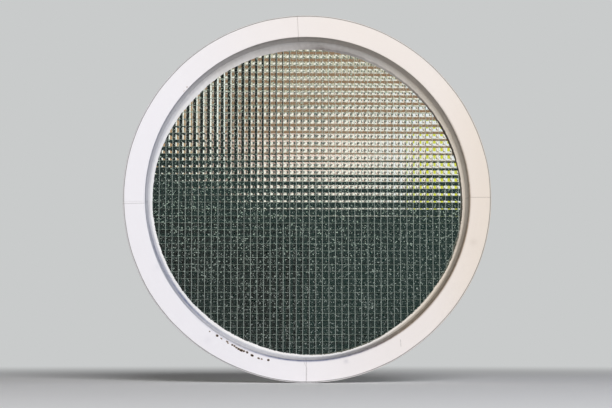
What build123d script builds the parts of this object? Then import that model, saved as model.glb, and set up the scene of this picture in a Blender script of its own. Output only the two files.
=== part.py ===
from build123d import *
import os
from math import ceil, degrees, floor

# Fixed round window: a timber ring of four quarter segments with a coved inner edge, a reeded
# pane bedded against its lip from behind, and four curved beads pinned behind the pane.
# Millimetres. X points right and Z up as seen from outside, Y points from outside inwards, and
# the origin is the ring's centre, as far behind the face as the face stands proud.

# Frame ring
OVERALL_DIAMETER = 600.0
FRAME_DEPTH = 56.0
FACE_WIDTH = 36.0
FACE_PROUD = 5.0
OUTER_ARRIS = 2.0
INNER_ARRIS = 1.0

# Cove from the face down to the lip that the pane is bedded against
COVE_WIDTH = 3.5
COVE_DEPTH = 19.0
LIP_DEPTH = 26.0

# Rebate behind the lip, open at the back
REBATE_WIDTH = 10.0

# Joints between the quarters, in degrees anticlockwise from the right as seen from outside
JOINT_ANGLES = {"right": 0.2, "top": 93.3, "left": 181.5, "bottom": 269.5}
BEAD_JOINT_ANGLES = {"right": 0.0, "top": 90.0, "left": 180.0, "bottom": 270.0}

# Loose tongues, glued into a slot across each joint of the frame
TONGUE_THICKNESS = 10.0
TONGUE_LENGTH = 48.0
TONGUE_EDGE = 12.0
TONGUE_FIT = 0.1
TONGUE_END_ROOM = 1.0

# Reeded pane
PANE_THICKNESS = 6.0
PANE_EDGE_ROOM = 3.0
REED_RISE = 0.6
UPRIGHT_REED_PITCH = 10.7
UPRIGHT_REED_START = 3.6
LEVEL_REED_PITCH = 11.4
LEVEL_REED_START = -5.2

# Putty between lip and pane, with the fillet that shows outside, and bedding behind the pane
FRONT_BEDDING = 2.0
FILLET_WIDTH = 8.0
FILLET_RISE = 5.0
BACK_BEDDING = 3.0

# Blocks between the pane's edge and the rebate
BLOCK_LENGTH = 30.0
BLOCK_FIT = 0.3
BLOCK_ANGLES = {
    "setting_block_left": 240.0,
    "setting_block_right": 300.0,
    "location_block_left": 150.0,
    "location_block_right": 30.0,
}

# Beads behind the pane, flush with the back of the frame
BEAD_FIT = 0.3
BEAD_COVER = 6.0
BEAD_NOSE = 3.0
BEAD_SPLAY = 4.0
BEAD_ARRIS = 1.5

# Pins through the beads, with a square shank
PINS_PER_BEAD = 3
PIN_SIDE = 1.6
PIN_LENGTH = 25.0
PIN_SINK = 1.0
PIN_FIT = 0.05
PIN_END_ROOM = 0.5

# Radii that follow
outer_radius = OVERALL_DIAMETER / 2
face_radius = outer_radius - FACE_WIDTH
lip_radius = face_radius - COVE_WIDTH
sight_radius = lip_radius - FILLET_WIDTH
rebate_radius = lip_radius + REBATE_WIDTH
pane_radius = rebate_radius - PANE_EDGE_ROOM
bead_radius = rebate_radius - BEAD_FIT
bead_inner_radius = lip_radius - BEAD_COVER

# Depths that follow, all along Y
face_y = -FACE_PROUD
back_y = face_y + FRAME_DEPTH
cove_y = face_y + COVE_DEPTH
lip_y = face_y + LIP_DEPTH
pane_front_y = lip_y + FRONT_BEDDING
pane_back_y = pane_front_y + PANE_THICKNESS
bead_front_y = pane_back_y + BACK_BEDDING
bead_nose_y = bead_front_y + BEAD_NOSE
pin_y = (bead_nose_y + back_y) / 2
pin_mouth_radius = bead_inner_radius + BEAD_SPLAY / 2


def at_angle(angle):
    """Turn from the right-hand side anticlockwise as seen from outside."""
    return Rot(0, -angle, 0)


def turned(section, start, end):
    """Sweep a section, drawn as radius and depth, round the ring from one angle to another."""
    return revolve(at_angle(end) * section, Axis.Y, revolution_arc=end - start)


def quarters(joints):
    """Name the four quarters with the angles at which they start and end."""
    return {
        "upper_right": (joints["right"], joints["top"]),
        "upper_left": (joints["top"], joints["left"]),
        "lower_left": (joints["left"], joints["bottom"]),
        "lower_right": (joints["bottom"], joints["right"] + 360.0),
    }


def frame_section():
    """Section of the frame: flat face, cove, lip, and the rebate that is open at the back."""
    front = Polyline(
        (outer_radius, face_y + OUTER_ARRIS),
        (outer_radius - OUTER_ARRIS, face_y),
        (face_radius + INNER_ARRIS, face_y),
        (face_radius, face_y + INNER_ARRIS),
    )
    cove = TangentArc((face_radius, face_y + INNER_ARRIS), (lip_radius, cove_y), tangent=(0, 1))
    back = Polyline(
        (lip_radius, cove_y),
        (lip_radius, lip_y),
        (rebate_radius, lip_y),
        (rebate_radius, back_y),
        (outer_radius - OUTER_ARRIS, back_y),
        (outer_radius, back_y - OUTER_ARRIS),
        (outer_radius, face_y + OUTER_ARRIS),
    )
    return make_face([front, cove, back])


def bead_section():
    """Section of a bead: square beside the bedding, then splayed towards the back."""
    outline = Polyline(
        (bead_radius, bead_front_y),
        (bead_radius, back_y),
        (bead_inner_radius + BEAD_SPLAY + BEAD_ARRIS, back_y),
        (bead_inner_radius + BEAD_SPLAY, back_y - BEAD_ARRIS),
        (bead_inner_radius, bead_nose_y),
        (bead_inner_radius, bead_front_y),
        close=True,
    )
    return make_face(outline)


def putty_section():
    """Section of the putty: a thin bed between lip and pane, and a fillet against the glass."""
    outline = Polyline(
        (pane_radius, lip_y),
        (lip_radius, lip_y),
        (lip_radius, pane_front_y - FILLET_RISE),
        (sight_radius, pane_front_y),
        (pane_radius, pane_front_y),
        close=True,
    )
    return make_face(outline)


def ring_section(inner, outer, front, back):
    """Rectangular section between two radii and two depths."""
    return make_face(Polyline((inner, front), (outer, front), (outer, back), (inner, back), close=True))


def across_joint(angle, thickness, length, edge):
    """A flat bar across a joint, between rebate and outside, an edge in from front and back."""
    bar = Box(thickness, FRAME_DEPTH - 2 * edge, length)
    return at_angle(angle) * Pos((outer_radius + rebate_radius) / 2, (face_y + back_y) / 2, 0) * bar


def tongue(angle):
    """A loose tongue of plywood, half of it in each of two segments."""
    return across_joint(angle, TONGUE_THICKNESS, TONGUE_LENGTH, TONGUE_EDGE)


def tongue_slot(angle):
    """The slot that takes a loose tongue, with room for glue round it and at its ends."""
    thickness = TONGUE_THICKNESS + 2 * TONGUE_FIT
    length = TONGUE_LENGTH + 2 * TONGUE_END_ROOM
    return across_joint(angle, thickness, length, TONGUE_EDGE - TONGUE_FIT)


def pin_angles():
    """Angles of the pins, evenly spaced along each bead."""
    angles = []
    for start, end in quarters(BEAD_JOINT_ANGLES).values():
        step = (end - start) / PINS_PER_BEAD
        angles += [start + step * (index + 0.5) for index in range(PINS_PER_BEAD)]
    return angles


def radial_bar(angle, side, inner, outer):
    """A square bar that points from the ring's axis outward, at the depth of the pins."""
    bar = Box(outer - inner, side, side)
    return at_angle(angle) * Pos((inner + outer) / 2, pin_y, 0) * bar


def bead_pin(angle):
    """One pin, punched below the splay of its bead."""
    head = pin_mouth_radius + PIN_SINK
    return radial_bar(angle, PIN_SIDE, head, head + PIN_LENGTH)


def pin_hole(angle):
    """The hole that a pin makes through its bead and into the frame."""
    end = pin_mouth_radius + PIN_SINK + PIN_LENGTH + PIN_END_ROOM
    return radial_bar(angle, PIN_SIDE + 2 * PIN_FIT, bead_inner_radius, end)


def frame_segment(start, end):
    """A quarter of the frame, slotted for the tongues at both ends and bored for its pins."""
    segment = turned(frame_section(), start, end)
    for angle in JOINT_ANGLES.values():
        segment -= tongue_slot(angle)
    for angle in pin_angles():
        segment -= pin_hole(angle)
    return segment


def glazing_bead(start, end):
    """A quarter of the bead, bored for its pins."""
    bead = turned(bead_section(), start, end)
    for angle in pin_angles():
        bead -= pin_hole(angle)
    return bead


def reeded_slab(pitch, start, crest_y, flat_y):
    """A slab with one flat side and one side of shallow reeds, which run along Z."""
    valley_y = crest_y + REED_RISE if flat_y > crest_y else crest_y - REED_RISE
    first = floor((-pane_radius - start) / pitch)
    last = ceil((pane_radius - start) / pitch)
    lines = []
    for index in range(first, last):
        left = start + index * pitch
        lines.append(ThreePointArc((left, valley_y), (left + pitch / 2, crest_y), (left + pitch, valley_y)))
    left_end = start + first * pitch
    right_end = start + last * pitch
    lines.append(Polyline((right_end, valley_y), (right_end, flat_y), (left_end, flat_y), (left_end, valley_y)))
    return extrude(make_face(lines), pane_radius + pitch, both=True)


def glass_pane():
    """The pane: upright reeds outside, level reeds inside, cut to a disc."""
    middle_y = (pane_front_y + pane_back_y) / 2
    disc = Pos(0, middle_y, 0) * Rot(90, 0, 0) * Cylinder(pane_radius, 2 * PANE_THICKNESS)
    upright = reeded_slab(UPRIGHT_REED_PITCH, UPRIGHT_REED_START, pane_front_y, pane_back_y + PANE_THICKNESS)
    level = reeded_slab(LEVEL_REED_PITCH, LEVEL_REED_START, pane_back_y, pane_front_y - PANE_THICKNESS)
    return disc & upright & at_angle(90) * level


def edge_block(angle):
    """A block that fills the room between the pane's edge and the rebate."""
    section = ring_section(pane_radius, rebate_radius - BLOCK_FIT, pane_front_y, pane_back_y)
    half_turn = degrees(BLOCK_LENGTH / rebate_radius) / 2
    return turned(section, angle - half_turn, angle + half_turn)


def build():
    """Every piece of the window by name."""
    pieces = {}
    for name, (start, end) in quarters(JOINT_ANGLES).items():
        pieces[f"frame_segment_{name}"] = frame_segment(start, end)
    for name, (start, end) in quarters(BEAD_JOINT_ANGLES).items():
        pieces[f"glazing_bead_{name}"] = glazing_bead(start, end)
    for name, angle in JOINT_ANGLES.items():
        pieces[f"tongue_{name}"] = tongue(angle)
    for name, angle in BLOCK_ANGLES.items():
        pieces[name] = edge_block(angle)
    pieces["glass_pane"] = glass_pane()
    pieces["glazing_putty"] = revolve(putty_section(), Axis.Y)
    pieces["back_bedding"] = revolve(
        ring_section(bead_inner_radius, pane_radius, pane_back_y, bead_front_y), Axis.Y
    )
    pieces["bead_pins"] = Compound(children=[bead_pin(angle) for angle in pin_angles()])
    return pieces


os.makedirs("parts", exist_ok=True)
for name, piece in build().items():
    export_step(piece, f"parts/{name}.step")
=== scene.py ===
from math import atan2, cos, degrees, pi, radians, sin

import bmesh
import bpy
import numpy as np
from mathutils import Matrix, Vector, noise


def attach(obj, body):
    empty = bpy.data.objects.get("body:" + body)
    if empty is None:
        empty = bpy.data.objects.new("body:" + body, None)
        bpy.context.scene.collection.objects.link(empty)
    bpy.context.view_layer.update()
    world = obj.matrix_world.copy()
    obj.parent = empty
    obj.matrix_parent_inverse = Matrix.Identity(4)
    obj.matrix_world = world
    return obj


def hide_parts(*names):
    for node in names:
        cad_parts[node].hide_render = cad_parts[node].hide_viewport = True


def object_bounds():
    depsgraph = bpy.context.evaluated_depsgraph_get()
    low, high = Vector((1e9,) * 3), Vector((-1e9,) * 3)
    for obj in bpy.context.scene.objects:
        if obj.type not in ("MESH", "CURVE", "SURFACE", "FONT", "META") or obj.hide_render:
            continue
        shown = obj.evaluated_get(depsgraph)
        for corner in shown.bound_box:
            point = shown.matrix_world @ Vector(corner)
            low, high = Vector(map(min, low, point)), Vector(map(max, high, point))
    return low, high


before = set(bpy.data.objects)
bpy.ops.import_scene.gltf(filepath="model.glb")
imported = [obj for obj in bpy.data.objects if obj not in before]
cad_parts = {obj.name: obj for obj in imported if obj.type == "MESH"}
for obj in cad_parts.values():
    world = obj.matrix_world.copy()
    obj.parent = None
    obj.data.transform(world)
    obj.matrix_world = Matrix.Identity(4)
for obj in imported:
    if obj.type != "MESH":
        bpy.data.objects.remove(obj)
solid_low, solid_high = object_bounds()

# Round window with a reeded pane. X points right and Z up as seen from outside, Y inwards.
# Sizes are in millimetres, as on the drawing, and turned to metres where a mesh is made.
MM = 0.001

# Frame ring, as in the solids
OUTER_RADIUS = 300.0
FACE_RADIUS = OUTER_RADIUS - 36.0
LIP_RADIUS = FACE_RADIUS - 3.5
REBATE_RADIUS = LIP_RADIUS + 10.0
FACE_Y = -5.0
COVE_Y = FACE_Y + 19.0
LIP_Y = FACE_Y + 26.0
BACK_Y = FACE_Y + 56.0
OUTER_ARRIS = 2.0
INNER_ARRIS = 1.0
COVE_ARC_RADIUS = 48.0
FRAME_JOINTS = {"right": 0.2, "top": 93.3, "left": 181.5, "bottom": 269.5}

# Loose tongues in slots across the joints of the frame
TONGUE_SLOT = (10.2, 32.2, 50.0)
SLOT_RADIUS, SLOT_Y = (OUTER_RADIUS + REBATE_RADIUS) / 2, (FACE_Y + BACK_Y) / 2

# Pane, and the putty between it and the lip
PANE_RADIUS = REBATE_RADIUS - 3.0
PANE_FRONT_Y = LIP_Y + 2.0
PANE_BACK_Y = PANE_FRONT_Y + 6.0
SIGHT_RADIUS = LIP_RADIUS - 8.0
FILLET_TOP_Y = PANE_FRONT_Y - 5.0

# Reeds of the pane
REED_RISE = 0.6
UPRIGHT_PITCH = 10.7
UPRIGHT_START = 3.6
LEVEL_PITCH = 11.4
LEVEL_START = -5.2
STEPS_PER_REED = 10

# The blanks that the pane is cut from: how far they reach past it, and the disc's corners
BLANK_SPARE = 12.0
DISC_CORNERS = 288

# Beads behind the pane
BEAD_RADIUS = REBATE_RADIUS - 0.3
BEAD_INNER = LIP_RADIUS - 6.0
BEAD_FRONT_Y = PANE_BACK_Y + 3.0
BEAD_NOSE_Y = BEAD_FRONT_Y + 3.0
BEAD_SPLAY = 4.0
BEAD_ARRIS = 1.5
BEAD_JOINTS = {"right": 0.0, "top": 90.0, "left": 180.0, "bottom": 270.0}
PINS_PER_BEAD = 3
PIN_Y = (BEAD_NOSE_Y + BACK_Y) / 2
PIN_HOLE_SIDE = 1.7
PIN_HOLE_END = BEAD_INNER + 28.5

# Where the hand-run fillet ends on the glass: angle, and how far outside its drawn edge
FILLET_RUN = (
    (0, 1.2), (10, 0.9), (20, -1.0), (45, -3.0), (70, -4.2), (100, -5.0), (115, -3.4), (130, -4.2),
    (142, -4.0), (152, -0.8), (172, 0.8), (188, 1.2), (200, 0.3), (215, 0.9), (230, -0.2), (248, 0.0),
    (262, 1.4), (275, 3.6), (290, 4.2), (300, 2.2), (322, 1.8), (340, 4.6), (350, 2.6),
)

# How far the outer edge has been planed back between the joints: angle, depth, half width
FLATS = ((46.0, 1.0, 20.0), (243.0, 0.8, 12.0), (314.0, 1.4, 24.0))

# Chips in the paint near the inner arris: angle, distance from it, length along it, width
CHIPS = (
    (233.9, 4.6, 2.6, 2.0), (236.9, 3.2, 3.8, 3.4), (238.8, 3.9, 4.4, 2.0), (240.9, 3.4, 4.2, 2.2),
    (241.4, 4.9, 3.2, 1.8), (243.0, 4.0, 2.8, 2.6), (243.8, 4.2, 3.0, 2.6), (244.7, 4.9, 3.8, 3.0),
    (245.6, 5.2, 4.8, 3.2), (246.6, 5.7, 4.8, 3.4), (247.5, 5.2, 3.8, 2.6), (248.7, 5.1, 3.8, 3.0),
    (250.7, 6.7, 4.6, 3.6), (253.1, 7.9, 3.8, 2.4), (254.2, 7.9, 3.2, 2.2), (256.4, 6.8, 3.8, 3.0),
    (137.5, 3.0, 3.0, 1.4), (139.2, 2.1, 2.4, 1.2),
)
CHIP_SPREAD = 1.3
CHIP_DEPTH = 0.6

# How far old paint wanders on the frame and on the beads, and how deep and half as wide it sinks
# at a joint. How deep and how far round it a pin has dimpled its bead
FRAME_WANDER, FRAME_GROOVE = 0.14, (0.45, 0.35)
BEAD_WANDER, BEAD_GROOVE = 0.1, (0.3, 0.4)
PIN_DIMPLE, DIMPLE_REACH = 0.45, 1.7

# Hairline cracks in the paint of the face: points as angle and distance from the ring's axis
CRACKS = (
    ((182.15, 265.0), (182.1, 299.0)),
    ((268.6, 264.0), (269.0, 270.0), (269.7, 276.0), (269.6, 296.0)),
    ((303.1, 275.0), (302.0, 284.5)),
)

# Where chips, cracks and the left joint need closer columns: start, end and step
FINE_STRETCHES = (
    (232.0, 258.0, 0.16), (136.0, 141.0, 0.16), (181.5, 182.5, 0.05), (268.2, 270.0, 0.1),
    (301.8, 303.3, 0.08),
)

# Faint stains on the face: angle, distance from the ring's axis, size, cover
STAINS = (
    (283.1, 272.3, 3.5, 0.22), (345.0, 279.0, 6.0, 0.1), (205.0, 268.0, 5.0, 0.06),
    (235.0, 282.0, 6.0, 0.06),
)

# Painted shade on the inner side of the ring, as shares of full cover: angle, lower fillet,
# upper fillet, inner half of the cove, outer half of the cove, arris
PAINTED_SHADE = (
    (0, 0.0, 0.0, 0.0, 0.42, 0.75), (20, 0.0, 0.0, 0.0, 0.46, 0.6), (40, 0.2, 0.1, 0.33, 0.35, 0.15),
    (60, 0.33, 0.2, 0.4, 0.42, 0.05), (85, 0.66, 0.46, 0.42, 0.54, 0.0),
    (105, 0.45, 0.4, 0.4, 0.62, 0.1), (125, 0.3, 0.42, 0.35, 0.48, 0.0),
    (145, 0.15, 0.38, 0.15, 0.48, 0.0), (180, 0.1, 0.28, 0.24, 0.5, 0.05),
    (200, 0.0, 0.48, 0.7, 0.36, 0.0), (220, 0.1, 0.8, 0.45, 0.46, 0.05),
    (240, 0.0, 0.42, 0.15, 0.35, 0.25), (260, 0.0, 0.32, 0.15, 0.7, 0.85),
    (280, 0.0, 0.5, 0.5, 0.8, 0.8), (300, 0.0, 0.48, 0.75, 0.85, 0.9),
    (320, 0.1, 0.5, 0.72, 0.95, 0.6), (340, 0.1, 0.2, 0.4, 0.78, 0.75),
)


def linear_colour(code):
    """Turn an sRGB hex value to the linear colour that a shader takes."""
    channels = [int(code[index:index + 2], 16) / 255 for index in (1, 3, 5)]
    linear = [c / 12.92 if c <= 0.04045 else ((c + 0.055) / 1.055) ** 2.4 for c in channels]
    return (*linear, 1.0)


def add_node(tree, kind, links=(), **settings):
    """Add a node to a tree, with its settings. Its inputs take sockets, nodes, hex colours or values.

    Links name the inputs, or list what goes into them in order. A kind that names no family is a
    shader node."""
    named = kind.startswith(("GeometryNode", "FunctionNode", "NodeGroup"))
    made = tree.nodes.new(kind if named else f"ShaderNode{kind}")
    for name, value in settings.items():
        setattr(made, name, value)
    for socket, value in links.items() if isinstance(links, dict) else enumerate(links):
        if isinstance(value, bpy.types.Node):
            value = value.outputs[0]
        if isinstance(value, bpy.types.NodeSocket):
            tree.links.new(value, made.inputs[socket])
        else:
            made.inputs[socket].default_value = linear_colour(value) if isinstance(value, str) else value
    return made


def new_object(name, data):
    """A new object in the scene."""
    made = bpy.data.objects.new(name, data)
    bpy.context.scene.collection.objects.link(made)
    return made


# Meshes


def run(start, end, pieces):
    """Points along a straight run of a section, without its last one."""
    shares = np.linspace(0, 1, pieces + 1)[:-1]
    return [(start[0] + (end[0] - start[0]) * s, start[1] + (end[1] - start[1]) * s) for s in shares]


def bend(centre, radius, start, end, pieces):
    """Points along an arc of a section, without its last one."""
    turns = np.radians(np.linspace(start, end, pieces + 1)[:-1])
    return [(centre[0] + radius * cos(t), centre[1] + radius * sin(t)) for t in turns]


# Point of the frame's section at which the flat face starts, counted from its first point
RIM_POINT = 15


def frame_section():
    """Section of the frame as radius and depth, from the back of the outer side forward."""
    cove_end = degrees(atan2(COVE_Y - FACE_Y - INNER_ARRIS, LIP_RADIUS - FACE_RADIUS + COVE_ARC_RADIUS))
    points = run((OUTER_RADIUS, BACK_Y - OUTER_ARRIS), (OUTER_RADIUS, FACE_Y + OUTER_ARRIS), 9)
    points += bend((OUTER_RADIUS - OUTER_ARRIS, FACE_Y + OUTER_ARRIS), OUTER_ARRIS, 0, -90, 6)
    points += run((OUTER_RADIUS - OUTER_ARRIS, FACE_Y), (FACE_RADIUS + INNER_ARRIS, FACE_Y), 24)
    points += bend((FACE_RADIUS + INNER_ARRIS, FACE_Y + INNER_ARRIS), INNER_ARRIS, -90, -180, 5)
    points += bend((FACE_RADIUS - COVE_ARC_RADIUS, FACE_Y + INNER_ARRIS), COVE_ARC_RADIUS, 0, cove_end, 14)
    points += run((LIP_RADIUS, COVE_Y), (LIP_RADIUS, LIP_Y), 4)
    points += run((LIP_RADIUS, LIP_Y), (REBATE_RADIUS, LIP_Y), 3)
    points += run((REBATE_RADIUS, LIP_Y), (REBATE_RADIUS, BACK_Y), 6)
    points += run((REBATE_RADIUS, BACK_Y), (OUTER_RADIUS - OUTER_ARRIS, BACK_Y), 7)
    points += bend((OUTER_RADIUS - OUTER_ARRIS, BACK_Y - OUTER_ARRIS), OUTER_ARRIS, 90, 0, 5)
    return np.array(points)


def bead_section():
    """Section of a bead, from the back of its outer side forward."""
    heel = (BEAD_INNER, BEAD_NOSE_Y - 0.6)
    splay_start = (BEAD_INNER + 0.25, BEAD_NOSE_Y + 0.9)
    splay_end = (BEAD_INNER + BEAD_SPLAY - 0.1, BACK_Y - BEAD_ARRIS - 0.4)
    back_edge = (BEAD_INNER + BEAD_SPLAY + BEAD_ARRIS, BACK_Y)
    points = run((BEAD_RADIUS, BACK_Y), (BEAD_RADIUS, BEAD_FRONT_Y), 5)
    points += run((BEAD_RADIUS, BEAD_FRONT_Y), (BEAD_INNER, BEAD_FRONT_Y), 4)
    points += run((BEAD_INNER, BEAD_FRONT_Y), heel, 3)
    points += run(heel, splay_start, 3) + run(splay_start, splay_end, 14)
    points += run(splay_end, back_edge, 5) + run(back_edge, (BEAD_RADIUS, BACK_Y), 6)
    return np.array(points)


def putty_section():
    """Section of the putty: fillet against the glass, and the bed between lip and pane."""
    points = run((PANE_RADIUS, PANE_FRONT_Y), (PANE_RADIUS, LIP_Y), 1)
    points += run((PANE_RADIUS, LIP_Y), (LIP_RADIUS, LIP_Y), 3)
    points += run((LIP_RADIUS, LIP_Y), (LIP_RADIUS, FILLET_TOP_Y), 2)
    points += run((LIP_RADIUS, FILLET_TOP_Y), (SIGHT_RADIUS, PANE_FRONT_Y), 9)
    points += run((SIGHT_RADIUS, PANE_FRONT_Y), (PANE_RADIUS, PANE_FRONT_Y), 4)
    return np.array(points)


def section_normals(section):
    """Outward directions of a section's points."""
    along = np.roll(section, -1, 0) - np.roll(section, 1, 0)
    outward = np.stack([-along[:, 1], along[:, 0]], 1)
    return outward / np.linalg.norm(outward, axis=1)[:, None]


def section_lengths(section):
    """Length along a section at each of its points, and once round."""
    steps = np.linalg.norm(np.roll(section, -1, 0) - section, axis=1)
    return np.concatenate([[0], np.cumsum(steps)])


def mesh_object(name, points, faces, uvs):
    """A smooth mesh object from points in millimetres, with a UV map in metres."""
    mesh = bpy.data.meshes.new(name)
    mesh.from_pydata(points * MM, [], faces)
    layer = mesh.uv_layers.new(name="Surface")
    layer.data.foreach_set("uv", (np.asarray(uvs) * MM).ravel())
    return new_object(name, mesh)


def sweep(name, section, angles, shape):
    """Sweep a section round the ring through the given angles, and let shape move its points.

    shape takes arrays of angle, radius, depth and length along the section, with the section's
    outward directions, and returns the new angle, radius and depth."""
    closed = abs(angles[-1] - angles[0] - 360) < 1e-6
    columns = angles[:-1] if closed else angles
    count, rows = len(columns), len(section)
    lengths = section_lengths(section)
    normals = section_normals(section)
    turn, radius = np.meshgrid(columns, section[:, 0], indexing="ij")
    depth = np.tile(section[:, 1], (count, 1))
    along = np.tile(lengths[:-1], (count, 1))
    turn, radius, depth = shape(turn, radius, depth, along, normals)
    flat = np.radians(turn)
    points = np.stack([radius * np.cos(flat), depth, radius * np.sin(flat)], -1).reshape(-1, 3)
    faces, uvs = [], []
    middle = section[:, 0].mean()
    steps = count if closed else count - 1
    around = np.radians(angles) * middle
    for column in range(steps):
        after = (column + 1) % count
        for row in range(rows):
            below = (row + 1) % rows
            corners = ((column, row), (after, row), (after, below), (column, below))
            faces.append(tuple(at * rows + down for at, down in corners))
            left, right = around[column], around[column + 1]
            top, foot = lengths[row], lengths[row + 1]
            uvs += [(left, top), (right, top), (right, foot), (left, foot)]
    if not closed:
        faces.append(tuple(range(rows)))
        uvs += [(around[0] + p[1], p[0]) for p in section]
        faces.append(tuple((count - 1) * rows + row for row in reversed(range(rows))))
        uvs += [(around[-1] + p[1], p[0]) for p in section[::-1]]
    return mesh_object(name, points, faces, uvs), turn, radius, depth


def close_up(piece, sharp_degrees):
    """Point the faces outwards, cut the end faces to triangles, and shade smooth between edges."""
    shell = bmesh.new()
    shell.from_mesh(piece.data)
    bmesh.ops.triangulate(shell, faces=[face for face in shell.faces if len(face.verts) > 4])
    bmesh.ops.recalc_face_normals(shell, faces=shell.faces)
    shell.to_mesh(piece.data)
    shell.free()
    piece.data.shade_smooth()
    piece.data.set_sharp_from_angle(angle=radians(sharp_degrees))


# Marks at a point that nothing has touched
CLEAR_MARKS = {"chip": -6.0, "joint": 9.0, "rim": 8.0, "stain_and_shade": 0.0}


def keep_number(piece, name, values):
    """Store one number for each point of a mesh, for its material to read."""
    stored = piece.data.attributes.new(name, "FLOAT", "POINT")
    stored.data.foreach_set("value", np.asarray(values, np.float32).ravel())


def rough(x, y, seed, octaves=3):
    """Smooth noise between about -1 and 1 over two coordinates."""
    values = [noise.fractal(Vector((a, b, seed)), 1.0, 2.0, octaves) for a, b in zip(x.ravel(), y.ravel())]
    return np.array(values).reshape(x.shape)


def ripple(angles, seed, waves):
    """Uneven waves round the ring that close on themselves, between about -1 and 1."""
    draw = np.random.default_rng(seed)
    total = np.zeros_like(angles, float)
    for count in waves:
        total += draw.uniform(0.4, 1.0) * np.sin(np.radians(angles) * count + draw.uniform(0, 2 * pi))
    return total / len(waves) * 1.6


def smooth(low, high, value):
    """Rise smoothly from 0 at low to 1 at high."""
    share = np.clip((value - low) / (high - low), 0, 1)
    return share * share * (3 - 2 * share)


def columns_between(start, end, step, fine=()):
    """Angles from start to end, closer together at both ends and in the fine stretches."""
    near = [0.0, 0.04, 0.08, 0.13, 0.2, 0.3]
    angles = [start + n for n in near] + [end - n for n in near]
    angles += list(np.linspace(start + 0.4, end - 0.4, int((end - start - 0.8) / step)))
    for low, high, fine_step in fine:
        low, high = max(low, start), min(high, end)
        if low < high:
            angles += list(np.arange(low, high, fine_step))
    angles = np.sort(np.array(angles))
    return angles[np.concatenate([[True], np.diff(angles) > 0.015])]


def take_shape(piece, modifier):
    """Keep what a modifier makes of a piece as its plain mesh, and remove the modifier."""
    made = bpy.data.meshes.new_from_object(piece.evaluated_get(bpy.context.evaluated_depsgraph_get()))
    piece.modifiers.remove(modifier)
    piece.data = made
    made.name = piece.name


def cut_bars(piece, bars):
    """Cut straight bars out of a piece, each given by its angle, radius, depth and size.

    The size runs along the radius, the depth and the ring. Points that a cut makes keep clear of
    the marks that the finishes read."""
    shell = bmesh.new()
    for angle, radius, depth, size in bars:
        place = Matrix.Rotation(-radians(angle), 4, "Y") @ Matrix.Translation((radius * MM, depth * MM, 0))
        sides = Matrix.Diagonal([side * MM for side in size] + [1])
        bmesh.ops.create_cube(shell, size=1.0, matrix=place @ sides)
    mesh = bpy.data.meshes.new("cutter")
    shell.to_mesh(mesh)
    shell.free()
    cutter = new_object("cutter", mesh)
    cut = piece.modifiers.new("Cut", "BOOLEAN")
    cut.operation, cut.solver, cut.object = "DIFFERENCE", "EXACT", cutter
    take_shape(piece, cut)
    bpy.data.objects.remove(cutter)
    count = len(piece.data.vertices)
    marks = {name: np.zeros(count, np.float32) for name in CLEAR_MARKS}
    for name, values in marks.items():
        piece.data.attributes[name].data.foreach_get("value", values)
    fresh = (marks["chip"] == 0) & (marks["rim"] == 0)
    for name, values in marks.items():
        values[fresh] = CLEAR_MARKS[name]
        piece.data.attributes[name].data.foreach_set("value", values)


def pin_angles(start, end):
    """Angles of the pins of one bead."""
    step = (end - start) / PINS_PER_BEAD
    return [start + step * (index + 0.5) for index in range(PINS_PER_BEAD)]


def pin_holes(angles):
    """Bars that bore the holes of some pins."""
    length = PIN_HOLE_END - BEAD_INNER + 1
    middle = PIN_HOLE_END - length / 2
    return [(angle, middle, PIN_Y, (length, PIN_HOLE_SIDE, PIN_HOLE_SIDE)) for angle in angles]


def quarters(joints):
    """The four quarters with the angles at which they start and end."""
    return {
        "upper_right": (joints["right"], joints["top"]),
        "upper_left": (joints["top"], joints["left"]),
        "lower_left": (joints["left"], joints["bottom"]),
        "lower_right": (joints["bottom"], joints["right"] + 360.0),
    }


def painted_shade_at(turn, zones, place, marks):
    """Painted shade cover at some angles: zones are columns of the list, each at its mark along place."""
    angles, *columns = zip(*PAINTED_SHADE)
    cover = np.zeros(turn.shape)
    strengths = [np.interp(turn, angles, columns[zone], period=360) for zone in zones]
    for index in range(len(marks) - 1):
        low, high = marks[index], marks[index + 1]
        share = np.clip((place - low) / (high - low), 0, 1)
        here = (place >= low) & (place <= high)
        cover = np.where(here, strengths[index] * (1 - share) + strengths[index + 1] * share, cover)
    return cover


def turn_from(turn, angle):
    """Degrees from an angle to each point, between -180 and 180."""
    return (turn - angle + 180) % 360 - 180


def to_joint(turn, radius, start, end):
    """Distance round the ring from each point to the nearer end of its piece, in millimetres."""
    return np.minimum(np.radians(turn - start), np.radians(end - turn)) * radius


def groove(turn, radius, start, end, depth, half_width):
    """How far the paint has sunk into the joints at both ends of a piece, in millimetres."""
    return depth * np.exp(-(to_joint(turn, radius, start, end) / half_width) ** 2)


def chip_depth(turn, radius, depth):
    """How far inside the nearest chip a point is, in millimetres, and below zero outside."""
    inside = np.full(turn.shape, CLEAR_MARKS["chip"])
    drop = np.maximum(depth - FACE_Y, 0)
    for angle, offset, *size in CHIPS:
        length, width = (CHIP_SPREAD * side for side in size)
        place = FACE_RADIUS + offset
        along = np.radians(turn_from(turn, angle)) * place
        across = radius - place - drop
        reach = np.sqrt((along / length) ** 2 + (across / width) ** 2)
        inside = np.maximum(inside, (0.5 - reach) * min(length, width) * 1.6)
    return inside


def crack_distance(turn, radius):
    """Distance from each point to the nearest crack, in millimetres."""
    flat = np.radians(turn)
    here = np.stack([radius * np.cos(flat), radius * np.sin(flat)], -1)
    nearest = np.full(turn.shape, CLEAR_MARKS["joint"])
    for crack in CRACKS:
        corners = [np.array([r * cos(radians(a)), r * sin(radians(a))]) for a, r in crack]
        for first, last in zip(corners, corners[1:]):
            along = last - first
            share = np.clip((here - first) @ along / (along @ along), 0, 1)
            away = np.linalg.norm(here - first - share[..., None] * along, axis=-1)
            nearest = np.minimum(nearest, away)
    return nearest


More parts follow.
